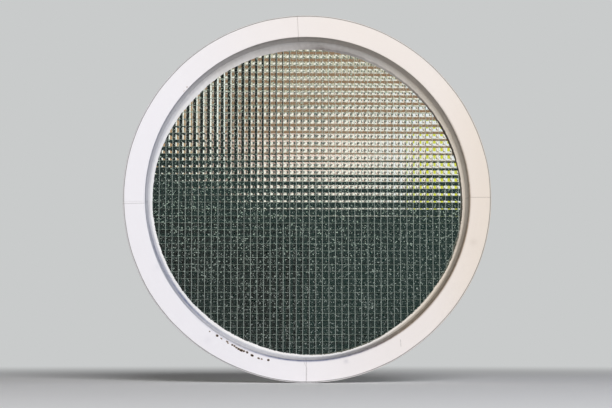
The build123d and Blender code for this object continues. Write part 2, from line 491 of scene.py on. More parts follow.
def frame_quarter(name, start, end, seed):
    """One quarter of the frame: planed edge, brushed paint, and a hairline at each joint."""

    def shape(turn, radius, depth, along, normals):
        planed = np.zeros_like(turn)
        for angle, cut, reach in FLATS:
            planed += cut * np.exp(-(turn_from(turn, angle) / reach) ** 2)
        radius = radius - planed * smooth(OUTER_RADIUS - 16, OUTER_RADIUS - 2, radius)
        arc = np.radians(turn) * radius
        skin = np.maximum(rough(arc / 70, along / 16, seed) * 0.5 + 0.5, 0)
        sunk = FRAME_WANDER * skin * smooth(LIP_Y - 2, LIP_Y - 6, depth)
        sunk += groove(turn, radius, start, end, *FRAME_GROOVE)
        sunk += CHIP_DEPTH * smooth(0.0, 1.2, chip_depth(turn, radius, depth)) * smooth(4, 0, depth)
        return turn, radius - sunk * normals[:, 0], depth - sunk * normals[:, 1]

    section = frame_section()
    columns = columns_between(start, end, 0.5, FINE_STRETCHES)
    piece, turn, radius, depth = sweep(name, section, columns, shape)
    keep_number(piece, "chip", chip_depth(turn, radius, depth))
    # Paint has nearly closed the left joint, and has cracked beside it
    closed = 0.45 * (np.abs(turn - FRAME_JOINTS["left"]) < 0.3)
    hairline = to_joint(turn, radius, start, end) + closed
    keep_number(piece, "joint", np.minimum(hairline, crack_distance(turn, radius)))
    lengths = section_lengths(section)
    from_rim = np.clip(lengths[:-1] - lengths[RIM_POINT], -CLEAR_MARKS["rim"], CLEAR_MARKS["rim"])
    keep_number(piece, "rim", np.tile(from_rim, (turn.shape[0], 1)))
    # Painted shade in the cove and on the face's inner arris, with the face's stains added, kept in one
    # number
    arris, outer, inner = 4, 3, 2
    marks = (FACE_Y + INNER_ARRIS * 0.6, 1.0, 9.0, LIP_Y)
    cove = painted_shade_at(turn, (outer, outer, inner, inner), depth, marks)
    cover = cove * (radius < FACE_RADIUS + 0.2) * (depth < LIP_Y)
    arris_shade = painted_shade_at(turn, (arris, arris), radius, (FACE_RADIUS - 1, FACE_RADIUS + 4))
    arris_shade *= smooth(3.0, 0.9, radius - FACE_RADIUS) * (depth < FACE_Y + INNER_ARRIS + 0.3)
    cover = np.maximum(cover, arris_shade)
    for angle, place, size, share in STAINS:
        away = np.hypot(np.radians(turn_from(turn, angle)) * place, radius - place)
        cover += share * np.exp(-(away / size) ** 2) * (depth < FACE_Y + 1)
    keep_number(piece, "stain_and_shade", cover)
    pins = [angle for ends in quarters(BEAD_JOINTS).values() for angle in pin_angles(*ends)]
    bars = pin_holes(angle for angle in pins if start < (angle - start) % 360 + start < end)
    bars += [(angle, SLOT_RADIUS, SLOT_Y, TONGUE_SLOT) for angle in (start, end)]
    cut_bars(piece, bars)
    close_up(piece, 40)
    return piece


def glazing_bead(name, start, end, seed):
    """One quarter of the bead, dimpled where its pins were punched in."""
    pins = pin_angles(start, end)

    def shape(turn, radius, depth, along, normals):
        arc = np.radians(turn) * radius
        skin = rough(arc / 60, along / 12, seed) * 0.5 + 0.5
        sunk = BEAD_WANDER * skin * smooth(BEAD_FRONT_Y + 0.5, BEAD_FRONT_Y + 2, depth)
        for pin in pins:
            away = np.hypot(np.radians(turn - pin) * radius, depth - PIN_Y)
            sunk += PIN_DIMPLE * np.exp(-(away / DIMPLE_REACH) ** 2) * (radius < BEAD_INNER + 8.5)
        sunk += groove(turn, radius, start, end, *BEAD_GROOVE)
        return turn, radius - sunk * normals[:, 0], depth - sunk * normals[:, 1]

    fine = [(pin - 1.2, pin + 1.2, 0.12) for pin in pins]
    columns = columns_between(start, end, 0.7, fine)
    piece, turn, radius, depth = sweep(name, bead_section(), columns, shape)
    for mark in ("chip", "rim", "stain_and_shade"):
        keep_number(piece, mark, np.full(turn.shape, CLEAR_MARKS[mark]))
    hairline = np.minimum(to_joint(turn, radius, start, end), CLEAR_MARKS["joint"])
    keep_number(piece, "joint", hairline)
    cut_bars(piece, pin_holes(pins))
    close_up(piece, 40)
    return piece


def putty_ring(name):
    """The putty, its fillet run by hand, so that both of its edges wander."""

    run_angles, run_offsets = zip(*FILLET_RUN)

    def shape(turn, radius, depth, along, normals):
        share = np.clip((depth - FILLET_TOP_Y) / (PANE_FRONT_Y - FILLET_TOP_Y), 0, 1)
        on_fillet = (radius < LIP_RADIUS - 0.01) & (depth <= PANE_FRONT_Y) & (radius > SIGHT_RADIUS - 0.01)
        near = [np.interp(turn + shift, run_angles, run_offsets, period=360) for shift in (-6, -3, 0, 3, 6)]
        # Slow waves of the hand, quicker ones of the knife, and small ones along the lower half
        hand = np.mean(near, 0)
        hand += 0.45 * ripple(turn, 3, (11, 19, 29, 47)) + 0.3 * ripple(turn, 4, (71, 97, 131, 190))
        hand += 0.4 * ripple(turn, 6, (233, 281, 337, 409)) * smooth(0.05, -0.1, np.sin(np.radians(turn)))
        hollow = np.sin(share * pi) * (0.7 + 0.3 * ripple(turn, 5, (7, 17, 37)))
        around = np.radians(turn) * (SIGHT_RADIUS + 2.5)
        lumps = 0.14 * rough(around / 5, along / 3, 7.0) * np.sin(share * pi)
        radius = radius + on_fillet * (np.clip(hand, -6, 5.5) * share + hollow * 0.5 + lumps)
        depth = depth + on_fillet * hollow * 0.7
        return turn, radius, depth

    angles = np.linspace(0, 360, 2161)
    piece, turn, radius, depth = sweep(name, putty_section(), angles, shape)
    share = np.clip((depth - FILLET_TOP_Y) / (PANE_FRONT_Y - FILLET_TOP_Y), 0, 1)
    keep_number(piece, "edge", share)
    # Painted shade on the fillet, from the table by angle
    upper, lower = 1, 0
    keep_number(piece, "stain_and_shade", painted_shade_at(turn, (upper, upper, lower, lower), share, (0.0, 0.45, 0.7, 1.0)))
    close_up(piece, 60)
    return piece


# Pane


def add_input(tree, kind, name, value=0):
    """A named input of a geometry tree with its value."""
    tree.interface.new_socket(name, in_out="INPUT", socket_type=kind).default_value = value


def reeded_slab_tree():
    """Geometry tree of a slab with reeds along Y on top: crests at Z 0, flat below."""
    tree = bpy.data.node_groups.new("Reeded slab", "GeometryNodeTree")
    for name in ("Pitch", "Start", "Rise", "Half length", "Thickness"):
        add_input(tree, "NodeSocketFloat", name)
    for name in ("Reeds", "First", "Steps"):
        add_input(tree, "NodeSocketInt", name)
    tree.interface.new_socket("Slab", in_out="OUTPUT", socket_type="NodeSocketGeometry")
    given = add_node(tree, "NodeGroupInput").outputs
    width = add_node(tree, "Math", (given["Pitch"], given["Reeds"]), operation="MULTIPLY")
    count = add_node(tree, "Math", (given["Reeds"], given["Steps"], 1.0), operation="MULTIPLY_ADD")
    length = add_node(tree, "Math", (given["Half length"], 2.0), operation="MULTIPLY")
    grid = add_node(tree, "GeometryNodeMeshGrid", {
        "Size X": width, "Size Y": length, "Vertices X": count, "Vertices Y": 2,
    })
    position = add_node(tree, "GeometryNodeInputPosition")
    here = add_node(tree, "SeparateXYZ", {0: position}).outputs
    half_width = add_node(tree, "Math", (width, 0.5), operation="MULTIPLY")
    across = add_node(tree, "Math", (here["X"], half_width), operation="ADD")
    counted = add_node(tree, "Math", (across, given["Pitch"]), operation="DIVIDE")
    share = add_node(tree, "Math", (counted,), operation="FRACT")
    doubled = add_node(tree, "Math", (share, 2.0), operation="MULTIPLY")
    from_crest = add_node(tree, "Math", (doubled, 1.0), operation="SUBTRACT")
    squared = add_node(tree, "Math", (from_crest, from_crest), operation="MULTIPLY")
    fall = add_node(tree, "Math", (squared, given["Rise"]), operation="MULTIPLY")
    first_start = add_node(tree, "Math", (given["Pitch"], given["First"]), operation="MULTIPLY")
    origin = add_node(tree, "Math", (given["Start"], first_start), operation="ADD")
    place = add_node(tree, "CombineXYZ", {
        "X": add_node(tree, "Math", (across, origin), operation="ADD"),
        "Y": here["Y"],
        "Z": add_node(tree, "Math", (fall, -1.0), operation="MULTIPLY"),
    })
    reeds = add_node(tree, "GeometryNodeSetPosition", {"Geometry": grid, "Position": place})
    under = add_node(tree, "GeometryNodeFlipFaces", {"Mesh": reeds})
    down = add_node(tree, "CombineXYZ", {
        "Z": add_node(tree, "Math", (given["Thickness"], -1.0), operation="MULTIPLY"),
    })
    body = add_node(tree, "GeometryNodeExtrudeMesh", {"Mesh": under, "Offset": down, "Individual": False})
    whole = add_node(tree, "GeometryNodeJoinGeometry")
    for part in (body, reeds):
        tree.links.new(part.outputs[0], whole.inputs[0])
    merged = add_node(tree, "GeometryNodeMergeByDistance", {"Geometry": whole, "Distance": 0.000001})
    add_node(tree, "NodeGroupOutput", {0: merged})
    return tree


def pane_tree(slab, finish):
    """Geometry tree of the pane: upright reeds outside, level reeds inside, cut to a disc."""
    tree = bpy.data.node_groups.new("Reeded pane", "GeometryNodeTree")
    sizes = {
        "Radius": PANE_RADIUS, "Front": PANE_FRONT_Y, "Back": PANE_BACK_Y, "Rise": REED_RISE,
        "Upright pitch": UPRIGHT_PITCH, "Upright start": UPRIGHT_START,
        "Level pitch": LEVEL_PITCH, "Level start": LEVEL_START,
    }
    for name, value in sizes.items():
        add_input(tree, "NodeSocketFloat", name, value * MM)
    add_input(tree, "NodeSocketInt", "Steps per reed", STEPS_PER_REED)
    tree.interface.new_socket("Pane", in_out="OUTPUT", socket_type="NodeSocketGeometry")
    given = add_node(tree, "NodeGroupInput").outputs
    cut = add_node(tree, "GeometryNodeMeshBoolean", operation="INTERSECT", solver="EXACT")
    sides = (
        ("Upright", "Front", (pi / 2, 0.0, 0.0)),
        ("Level", "Back", (0.0, -pi / 2, -pi / 2)),
    )
    for way, side, turn in sides:
        start, pitch = given[f"{way} start"], given[f"{way} pitch"]
        far_side = add_node(tree, "Math", (given["Radius"], -1.0), operation="MULTIPLY")
        left = add_node(tree, "Math", (far_side, start), operation="SUBTRACT")
        right = add_node(tree, "Math", (given["Radius"], start), operation="SUBTRACT")
        left_count = add_node(tree, "Math", (left, pitch), operation="DIVIDE")
        right_count = add_node(tree, "Math", (right, pitch), operation="DIVIDE")
        first = add_node(tree, "Math", (left_count,), operation="FLOOR")
        last = add_node(tree, "Math", (right_count,), operation="CEIL")
        made = add_node(tree, "GeometryNodeGroup", {
            "Pitch": pitch, "Start": start, "Rise": given["Rise"], "First": first,
            "Reeds": add_node(tree, "Math", (last, first), operation="SUBTRACT"),
            "Steps": given["Steps per reed"],
            "Half length": (PANE_RADIUS + BLANK_SPARE) * MM, "Thickness": BLANK_SPARE * MM,
        }, node_tree=slab)
        place = add_node(tree, "CombineXYZ", {"Y": given[side]})
        turned = add_node(tree, "GeometryNodeTransform", {
            "Geometry": made, "Translation": place, "Rotation": turn,
        })
        tree.links.new(turned.outputs[0], cut.inputs["Mesh 2"])
    disc = add_node(tree, "GeometryNodeMeshCylinder", {
        "Vertices": DISC_CORNERS, "Radius": given["Radius"], "Depth": 2.5 * BLANK_SPARE * MM,
    })
    both_sides = add_node(tree, "Math", (given["Front"], given["Back"]), operation="ADD")
    middle = add_node(tree, "Math", (both_sides, 0.5), operation="MULTIPLY")
    centre = add_node(tree, "CombineXYZ", {"Y": middle})
    blank = add_node(tree, "GeometryNodeTransform", {
        "Geometry": disc, "Translation": centre, "Rotation": (pi / 2, 0.0, 0.0),
    })
    tree.links.new(blank.outputs[0], cut.inputs["Mesh 2"])
    rolled = add_node(tree, "GeometryNodeSetShadeSmooth", {
        "Geometry": cut, "Shade Smooth": True,
    }, domain="FACE")
    angle = add_node(tree, "GeometryNodeInputMeshEdgeAngle")
    crisp = add_node(
        tree, "FunctionNodeCompare", {0: angle, 1: radians(14)}, data_type="FLOAT", operation="GREATER_THAN"
    )
    creased = add_node(tree, "GeometryNodeSetShadeSmooth", {
        "Geometry": rolled, "Selection": crisp, "Shade Smooth": False,
    }, domain="EDGE")
    real = add_node(tree, "GeometryNodeRealizeInstances", {0: creased})
    dressed = add_node(tree, "GeometryNodeSetMaterial", {"Geometry": real, "Material": finish})
    add_node(tree, "NodeGroupOutput", {0: dressed})
    return tree


def glass_pane(name, finish):
    """The pane as a plain mesh, made by its geometry tree."""
    piece = new_object(name, bpy.data.meshes.new(name))
    tree = pane_tree(reeded_slab_tree(), finish)
    maker = piece.modifiers.new("Reeds", "NODES")
    maker.node_group = tree
    named = {item.name: item.identifier for item in tree.interface.items_tree if item.in_out == "INPUT"}
    maker[named["Steps per reed"]] = STEPS_PER_REED
    take_shape(piece, maker)
    return piece


# Finishes


def new_finish(name):
    """A new material, its empty tree, and where on the piece it is being coloured."""
    finish = bpy.data.materials.new(name)
    finish.use_nodes = True
    tree = finish.node_tree
    tree.nodes.clear()
    return finish, tree, add_node(tree, "TexCoord").outputs["Object"]


def show(finish, shader):
    """Connect a shader to its material's surface."""
    add_node(finish.node_tree, "OutputMaterial", {"Surface": shader})
    return finish


RIGHT, UP = (1.0, 0.0, 0.0), (0.0, 0.0, 1.0)
SOFT = "SMOOTHSTEP"


def scale_of(size):
    """Scale of a pattern whose marks are so many millimetres across."""
    return 1 / (size * MM)


def paint_over(tree, base, *coats):
    """Lay colours over a base, one after another, each with the share that it covers."""
    for colour, share in coats:
        laid = add_node(tree, "Mix", {"Factor": share, 6: base, 7: colour}, data_type="RGBA")
        base = laid.outputs[2]
    return base


def side_share(tree, place, towards, start, end, low=0.0, high=1.0, ease="LINEAR"):
    """A share that changes across the window: low at start and high at end, towards one side."""
    along = add_node(tree, "VectorMath", {0: place, 1: towards}, operation="DOT_PRODUCT")
    return add_node(tree, "MapRange", {
        "Value": along.outputs["Value"], "From Min": start, "From Max": end, "To Min": low, "To Max": high,
    }, interpolation_type=ease)


def lay_painted_shade(tree, below, place):
    """Lay painted shade and stains: blue-grey at the lower left, brown above, ochre at the right."""
    cover = add_node(tree, "Attribute", attribute_name="stain_and_shade").outputs["Fac"]
    cloud = add_node(tree, "TexNoise", {"Vector": place, "Scale": scale_of(7.14), "Detail": 4.0})
    uneven = add_node(tree, "Math", (cloud, 0.5, 0.75), operation="MULTIPLY_ADD")
    laid = add_node(tree, "Math", (cover, uneven), operation="MULTIPLY")
    above = side_share(tree, place, UP, -0.05, 0.22, ease=SOFT)
    warm_side = side_share(tree, place, (0.82, 0.0, 0.57), -0.15, 0.03, ease=SOFT)
    warm = paint_over(tree, "#6E5430", ("#5C4C44", above))
    tone = paint_over(tree, "#42517A", (warm, warm_side))
    return paint_over(tree, below, (tone, laid))


def gloss_paint():
    """White gloss oil paint, brushed on timber in several coats and years old."""
    finish, tree, place = new_finish("White gloss oil paint on timber, brushed")
    surface = add_node(tree, "UVMap", uv_map="Surface")
    # The brush was drawn round the ring: streaks about 60 mm long and 1.5 mm apart
    stroke_map = add_node(tree, "Mapping", {
        "Vector": surface, "Scale": (scale_of(62.5), scale_of(1.54), 1),
    })
    strokes = add_node(tree, "TexNoise", {
        "Vector": stroke_map, "Scale": 1.0, "Detail": 4.0, "Roughness": 0.6,
    })
    # Slow unevenness of the old coats
    patches = add_node(tree, "TexNoise", {"Vector": place, "Scale": scale_of(90.9), "Detail": 3.0})
    # Specks and pores
    specks = add_node(tree, "TexNoise", {"Vector": place, "Scale": scale_of(1.11), "Detail": 2.0})
    # Slow patches and brush streaks are the paint's own; the warmer tone towards the right is painted warm
    # side light
    toned_and_side_lit = paint_over(
        tree, "#F0EDEF",
        ("#EDE3D9", side_share(tree, place, (0.94, 0.0, 0.34), -0.24, 0.24, ease=SOFT)),
        ("#E6D9C9", side_share(tree, place, RIGHT, 0.19, 0.31, ease=SOFT)),
        ("#CFCBC8", add_node(tree, "Math", (patches, 0.12), operation="MULTIPLY")),
        ("#C4C0BC", add_node(tree, "Math", (strokes, 0.07), operation="MULTIPLY")),
    )
    # Dirt that has settled in the hairline at each joint
    joint = add_node(tree, "Attribute", attribute_name="joint").outputs["Fac"]
    hairline = add_node(tree, "MapRange", {
        "Value": add_node(tree, "Math", (specks, 1.2, joint), operation="MULTIPLY_ADD"),
        "From Min": 1.5, "From Max": 0.7, "To Max": 0.36,
    })
    # A grey line of painted shade where the face meets its outer arris
    rim = add_node(tree, "Attribute", attribute_name="rim").outputs["Fac"]
    waver = add_node(tree, "Math", (patches, 2.4, -0.9), operation="MULTIPLY_ADD")
    from_line = add_node(tree, "Math", (rim, waver), operation="ADD")
    rim_shade = add_node(tree, "MapRange", {
        "Value": add_node(tree, "Math", (from_line,), operation="ABSOLUTE"),
        "From Min": 0.95, "From Max": 0.25, "To Max": 0.8,
    })
    lined = paint_over(tree, toned_and_side_lit, ("#6E665F", hairline), ("#55574F", rim_shade))
    # Chips: the edge shows yellowed undercoat, the middle bare brown timber
    chip = add_node(tree, "Attribute", attribute_name="chip").outputs["Fac"]
    torn = add_node(tree, "TexNoise", {
        "Vector": place, "Scale": scale_of(1.923), "Detail": 5.0, "Roughness": 0.75,
    })
    tear = add_node(tree, "Math", (torn, 5.5, -2.75), operation="MULTIPLY_ADD")
    ragged = add_node(tree, "Math", (chip, tear), operation="ADD")
    open_chip = add_node(tree, "MapRange", {"Value": ragged, "From Min": 0.0, "From Max": 0.35})
    deep_chip = add_node(tree, "MapRange", {"Value": ragged, "From Min": 0.3, "From Max": 0.7})
    bare = paint_over(tree, "#B89A70", ("#3A2E26", deep_chip))
    # Painted shade of the cove and inner arris and the stains go on, then the chips
    coloured = paint_over(tree, lay_painted_shade(tree, lined, place), (bare, open_chip))
    dull = add_node(tree, "MapRange", {"Value": open_chip, "To Min": 0.38, "To Max": 0.8})
    streaks = add_node(tree, "Math", (strokes, 0.55), operation="MULTIPLY")
    relief = add_node(tree, "Math", (streaks, open_chip), operation="SUBTRACT")
    height = add_node(tree, "Math", (specks, 0.12, relief), operation="MULTIPLY_ADD")
    bump = add_node(tree, "Bump", {"Height": height, "Distance": 0.00035, "Strength": 0.6})
    return show(finish, add_node(tree, "BsdfPrincipled", {
        "Base Color": coloured, "Roughness": dull, "Normal": bump, "IOR": 1.5, "Specular IOR Level": 0.3,
    }))


def painted_putty():
    """Linseed putty run by hand against the glass and painted over: lumpy and stained, with painted warm
    light at the right and painted shade.
    """
    finish, tree, place = new_finish("Painted linseed putty, hand run")
    lumps = add_node(tree, "TexNoise", {"Vector": place, "Scale": scale_of(3.85), "Detail": 4.0})
    stains = add_node(tree, "TexNoise", {"Vector": place, "Scale": scale_of(28.6), "Detail": 3.0})
    # Stains of its own, and painted warm light that makes it warmer towards the right
    stained_and_warm_lit = paint_over(
        tree, "#FBF9F6",
        ("#DAD3C8", add_node(tree, "Math", (stains, 0.5), operation="MULTIPLY")),
        ("#F4E9D9", side_share(tree, place, RIGHT, 0.06, 0.24, ease=SOFT)),
    )
    # A black line along the foot of the fillet, on the upper right and thinner towards the top
    foot = add_node(tree, "Attribute", attribute_name="edge").outputs["Fac"]
    waver = add_node(tree, "Math", (stains, 0.25, -0.125), operation="MULTIPLY_ADD")
    ragged = add_node(tree, "Math", (foot, waver), operation="ADD")
    black = add_node(tree, "MapRange", {"Value": ragged, "From Min": 0.76, "From Max": 0.86})
    held = side_share(tree, place, (0.8, 0.0, 0.6), 0.12, 0.19, high=0.95, ease=SOFT)
    thinner = side_share(tree, place, UP, 0.13, 0.23, 1.0, 0.4)
    lined_side = add_node(tree, "Math", (held, thinner), operation="MULTIPLY")
    share = add_node(tree, "Math", (black, lined_side), operation="MULTIPLY")
    # Painted shade from the table goes on first, then the black line at the foot
    shaded_and_lined = paint_over(tree, lay_painted_shade(tree, stained_and_warm_lit, place), ("#1C1712", share))
    bump = add_node(tree, "Bump", {"Height": lumps, "Distance": 0.0006, "Strength": 0.7})
    return show(finish, add_node(tree, "BsdfPrincipled", {
        "Base Color": shaded_and_lined, "Roughness": 0.5, "Normal": bump, "Specular IOR Level": 0.3,
    }))


def reeded_glass():
    """Rolled soda-lime glass with a faint green cast, dirt in its grooves and dust outside."""
    finish, tree, place = new_finish("Rolled reeded glass, soda-lime")
    where = add_node(tree, "SeparateXYZ", {0: place}).outputs
    # Pin-prick texture of the roller, and slow waves
    pricks = add_node(tree, "TexNoise", {"Vector": place, "Scale": scale_of(1.54), "Detail": 2.0})
    waves = add_node(tree, "TexNoise", {"Vector": place, "Scale": scale_of(28.6), "Detail": 1.0})
    height = add_node(tree, "Math", (pricks, 0.14, waves), operation="MULTIPLY_ADD")
    bump = add_node(tree, "Bump", {"Height": height, "Distance": 0.0004, "Strength": 0.5})
    middle = (PANE_FRONT_Y + PANE_BACK_Y) / 2 * MM
    inside = add_node(tree, "Math", (where["Y"], middle), operation="GREATER_THAN")
    outside = add_node(tree, "Math", (1.0, inside), operation="SUBTRACT")
    grooves = (
        ("X", UPRIGHT_PITCH, UPRIGHT_START, 0.50, outside),
        ("Z", LEVEL_PITCH, LEVEL_START, 0.64, inside),
    )
    in_grooves = 0.0
    for axis, pitch, start, amount, face in grooves:
        from_start = add_node(tree, "Math", (where[axis], start * MM), operation="SUBTRACT")
        counted = add_node(tree, "Math", (from_start, pitch * MM), operation="DIVIDE")
        to_groove = add_node(tree, "Math", (counted, 0.5), operation="PINGPONG")
        away = add_node(tree, "Math", (to_groove, pitch), operation="MULTIPLY")
        lying = add_node(tree, "MapRange", {
            "Value": away, "From Min": 0.62, "From Max": 0.2, "To Max": amount,
        })
        lying_here = add_node(tree, "Math", (lying, face), operation="MULTIPLY")
        in_grooves = add_node(tree, "Math", (in_grooves, lying_here), operation="MAXIMUM")
    patchy = add_node(tree, "TexNoise", {"Vector": place, "Scale": scale_of(16.7), "Detail": 4.0})
    spread = add_node(tree, "MapRange", {
        "Value": patchy, "From Min": 0.35, "From Max": 0.6, "To Min": 0.75,
    })
    # Specks of dust, drawn coarser than the real ones so that they show
    specks = add_node(tree, "TexNoise", {"Vector": place, "Scale": scale_of(2.0), "Detail": 0.8})
    dust = add_node(tree, "MapRange", {"Value": specks, "From Min": 0.642, "From Max": 0.725})
    strength = side_share(tree, place, UP, -0.2, -0.02, 0.36, 0.82)
    settled = add_node(tree, "Math", (dust, strength), operation="MULTIPLY")
    dusty = add_node(tree, "Math", (settled, outside), operation="MULTIPLY")
    grooves_dirt = add_node(tree, "Math", (in_grooves, spread), operation="MULTIPLY")
    dirt = add_node(tree, "Math", (grooves_dirt, dusty), operation="MAXIMUM")
    return show(finish, add_node(tree, "BsdfPrincipled", {
        "Base Color": paint_over(tree, "#F1F8F3", ("#8CAA88", dirt)),
        "Roughness": add_node(tree, "Math", (dirt, 0.3, 0.02), operation="MULTIPLY_ADD"),
        "Transmission Weight": add_node(tree, "Math", (1.0, dirt), operation="SUBTRACT"),
        "IOR": 1.52, "Normal": bump,
    }))


def bedding_putty():
    """Linseed oil putty as it cures unpainted: matt, warm grey, faintly grainy."""
    finish, tree, place = new_finish("Linseed putty, unpainted bedding")
    grain = add_node(tree, "TexNoise", {"Vector": place, "Scale": scale_of(3.3), "Detail": 4.0})
    bump = add_node(tree, "Bump", {"Height": grain, "Distance": 0.0003, "Strength": 0.6})
    tone = paint_over(tree, "#C9C0AD", ("#A89E8B", grain))
    return show(finish, add_node(tree, "BsdfPrincipled", {
        "Base Color": tone, "Roughness": 0.75, "Normal": bump,
    }))


def birch_plywood():
    """Birch plywood: thin plies, light and dark by turns."""
    finish, tree, place = new_finish("Birch plywood")
    # One wave of the pattern takes in a light and a dark ply
    ply = 1.43
    plies = add_node(tree, "TexWave", {
        "Vector": place, "Scale": scale_of(20 * ply / pi), "Distortion": 0.4, "Detail": 2.0,
    }, bands_direction="Y")
    tone = paint_over(tree, "#D9BE94", ("#A37F52", plies.outputs["Fac"]))
    return show(finish, add_node(tree, "BsdfPrincipled", {"Base Color": tone, "Roughness": 0.65}))


def block_rubber():
    """Black synthetic rubber, cut from sheet: matt with a fine skin."""
    finish, tree, place = new_finish("Black rubber, cut from sheet")
    skin = add_node(tree, "TexNoise", {"Vector": place, "Scale": scale_of(1.25), "Detail": 3.0})
    bump = add_node(tree, "Bump", {"Height": skin, "Distance": 0.0002, "Strength": 0.5})
    tone = paint_over(tree, "#1E1E20", ("#35353A", skin))
    return show(finish, add_node(tree, "BsdfPrincipled", {
        "Base Color": tone, "Roughness": 0.7, "Normal": bump,
    }))


def pin_brass():
    """Drawn brass wire, a little dulled."""
    finish, tree, place = new_finish("Drawn brass")
    dulling = add_node(tree, "TexNoise", {"Vector": place, "Scale": scale_of(1.43), "Detail": 3.0})
    worn = add_node(tree, "MapRange", {"Value": dulling, "To Min": 0.25, "To Max": 0.5})
    tone = paint_over(tree, "#D8B25C", ("#9C7A36", dulling))
    return show(finish, add_node(tree, "BsdfPrincipled", {
        "Base Color": tone, "Metallic": 1.0, "Roughness": worn,
    }))


# Pieces

timber_paint = gloss_paint()

for number, (quarter, (start, end)) in enumerate(quarters(FRAME_JOINTS).items()):
    piece = frame_quarter(f"frame_quarter_{quarter}", start, end, 10.0 + number)
    piece.data.materials.append(timber_paint)
    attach(piece, "root")
    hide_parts(f"frame_segment_{quarter}")

for number, (quarter, (start, end)) in enumerate(quarters(BEAD_JOINTS).items()):
    piece = glazing_bead(f"bead_quarter_{quarter}", start, end, 20.0 + number)
    piece.data.materials.append(timber_paint)
    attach(piece, "root")
    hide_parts(f"glazing_bead_{quarter}")

fillet = putty_ring("putty_fillet")
fillet.data.materials.append(painted_putty())
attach(fillet, "root")
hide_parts("glazing_putty")

pane = glass_pane("reeded_pane", reeded_glass())
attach(pane, "root")
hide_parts("glass_pane")

plywood, rubber = birch_plywood(), block_rubber()
carried_over = {
    "back_bedding": bedding_putty(),
    "bead_pins": pin_brass(),
    "tongue_right": plywood,
    "tongue_top": plywood,
    "tongue_left": plywood,
    "tongue_bottom": plywood,
    "setting_block_left": rubber,
    "setting_block_right": rubber,
    "location_block_left": rubber,
    "location_block_right": rubber,
}
for name, finish in carried_over.items():
    for material_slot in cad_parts[name].material_slots:
        material_slot.material = finish


# Stage, in metres

BACKGROUND = "#C9CBCB"

# Upper edge of the near card, as X and Z, from the right to the left
NEAR_Y = 0.70
NEAR_LOW, NEAR_REACH = -1.3, 1.8
NEAR_EDGE = (
    (1.8, 0.088), (0.42, 0.088), (0.41, 0.096), (0.27, 0.094), (0.26, 0.086), (0.0, 0.090),
    (-0.10, 0.108), (-0.25, 0.155), (-0.33, 0.19), (-1.8, 0.21),
)

# Patches of the far card, the later ones over the earlier: colour, middle and half size along X
# and Z, and how soft the edge is
FAR_Y = 1.42
PINK_PATCH = ("#F8D2C6", (-0.5, 0.20), (0.80, 0.11), 0.03)
FAR_PATCHES = (
    ("#F6F4FB", (0.67, 0.22), (0.31, 0.12), 0.03),
    ("#94745A", (0.2, 0.405), (0.95, 0.06), 0.006),
    ("#94745A", (0.2, 0.73), (0.95, 0.05), 0.006),
    ("#B89470", (-0.39, 0.28), (0.07, 0.16), 0.012),
    ("#FFFFFA", (-0.300, 0.30), (0.028, 0.23), 0.005),
    ("#040F0D", (-0.196, 0.5), (0.077, 1.2), 0.008),
    ("#040F0D", (-0.475, 0.5), (0.045, 1.2), 0.008),
    ("#0C1E1B", (-0.66, 0.5), (0.08, 1.2), 0.008),
    ("#0C1E1B", (-1.7, 0.5), (0.85, 1.2), 0.05),
)

YELLOW_Y = 0.705
FLAG_Y = -4.6


def rectangle(y, left, right, low, high):
    """Corners of an upright rectangle that faces the window."""
    return [(left, y, low), (right, y, low), (right, y, high), (left, y, high)]


def card(name, corners, finish, seen_by="transmission"):
    """An upright card on the stage, seen through the glass or, for a flag, in reflections."""
    mesh = bpy.data.meshes.new(name)
    mesh.from_pydata(corners, [], [tuple(range(len(corners)))])
    board = new_object(name, mesh)
    mesh.materials.append(finish)
    for kind in ("camera", "diffuse", "glossy", "transmission", "volume_scatter", "shadow"):
        setattr(board, f"visible_{kind}", kind == seen_by)


def even_finish(name, colour, strength):
    """One even colour, for a flag or a small card."""
    finish, tree, _ = new_finish(name)
    return show(finish, add_node(tree, "Emission", {"Color": colour, "Strength": strength}))


def near_finish():
    """Dark green mottle of the shade behind the lower half of the pane."""
    finish, tree, place = new_finish("Dark mottled card")
    along = add_node(tree, "SeparateXYZ", {0: place}).outputs["X"]
    shades = add_node(tree, "TexNoise", {
        "Vector": place, "Scale": 9.0, "Detail": 5.0, "Roughness": 0.7,
    })
    bars = add_node(tree, "TexNoise", {"W": along, "Scale": 16.0, "Detail": 2.0}, noise_dimensions="1D")
    mottle = add_node(tree, "Math", (bars, 0.6, shades), operation="MULTIPLY_ADD")
    mottle = add_node(tree, "Math", (along, 0.5, mottle), operation="MULTIPLY_ADD")
    paler_above = side_share(tree, place, UP, -0.03, 0.07, high=0.22)
    mottle = add_node(tree, "Math", (mottle, paler_above), operation="ADD")
    share = add_node(tree, "MapRange", {"Value": mottle, "From Min": 0.65, "From Max": 0.95})
    tone = paint_over(tree, "#010603", ("#102724", share))
    return show(finish, add_node(tree, "Emission", {"Color": tone, "Strength": 1.0}))


